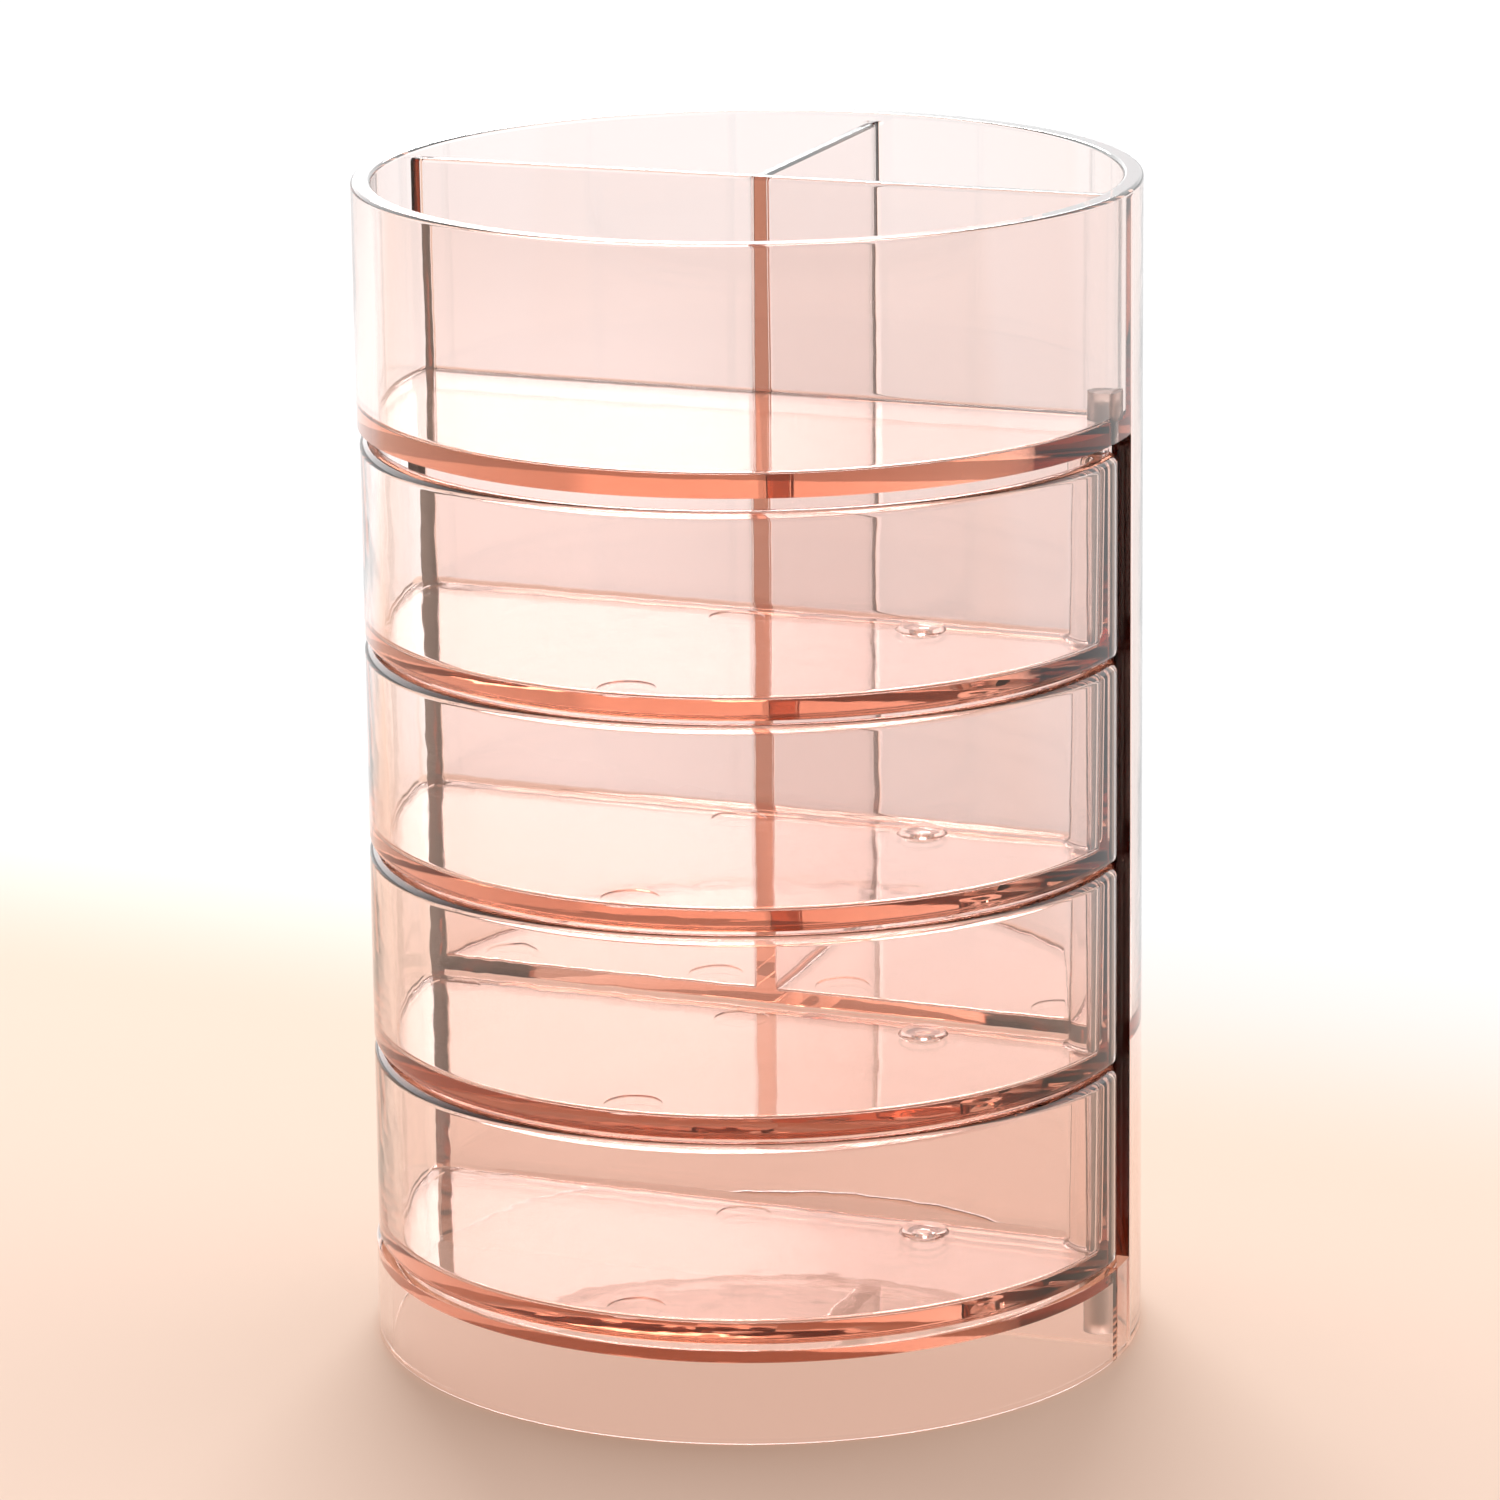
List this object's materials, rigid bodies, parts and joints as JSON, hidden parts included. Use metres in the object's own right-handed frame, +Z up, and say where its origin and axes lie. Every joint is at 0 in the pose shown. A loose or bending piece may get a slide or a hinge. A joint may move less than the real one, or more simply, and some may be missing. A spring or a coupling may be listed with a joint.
{
  "type": "round pen holder with swing-out trays",
  "caption": "Round clear plastic desk organiser with pen wells behind, a shallow well on top and half-round trays in front that swing out on an upright rod.",
  "frame": {"origin": "middle of the foot, on the surface it stands on", "axes": "+Z up to the rim, -Y towards the trays, +X towards the rod"},
  "size_m": [0.096, 0.096, 0.1458],
  "materials": {
    "clear_rose": "clear polystyrene, polished mould, tinted rose",
    "steel": "drawn steel wire, satin"
  },
  "bodies": {
    "holder": {"body": "clear_rose", "base": "clear_rose", "pivot_rod": "steel"},
    "tray_1": {"tray_1": "clear_rose"},
    "tray_2": {"tray_2": "clear_rose"},
    "tray_3": {"tray_3": "clear_rose"},
    "tray_4": {"tray_4": "clear_rose"}
  },
  "joints": [
    {"name": "tray_1_swing", "type": "hinge", "parent": "holder", "child": "tray_1", "pos_m": [0.04449, -0.00085, 0.0124], "axis": [0, 0, 1], "range_deg": [0, 95]},
    {"name": "tray_2_swing", "type": "hinge", "parent": "holder", "child": "tray_2", "pos_m": [0.04449, -0.00085, 0.038], "axis": [0, 0, 1], "range_deg": [0, 95]},
    {"name": "tray_3_swing", "type": "hinge", "parent": "holder", "child": "tray_3", "pos_m": [0.04449, -0.00085, 0.0636], "axis": [0, 0, 1], "range_deg": [0, 95]},
    {"name": "tray_4_swing", "type": "hinge", "parent": "holder", "child": "tray_4", "pos_m": [0.04449, -0.00085, 0.0892], "axis": [0, 0, 1], "range_deg": [0, 95]}
  ]
}
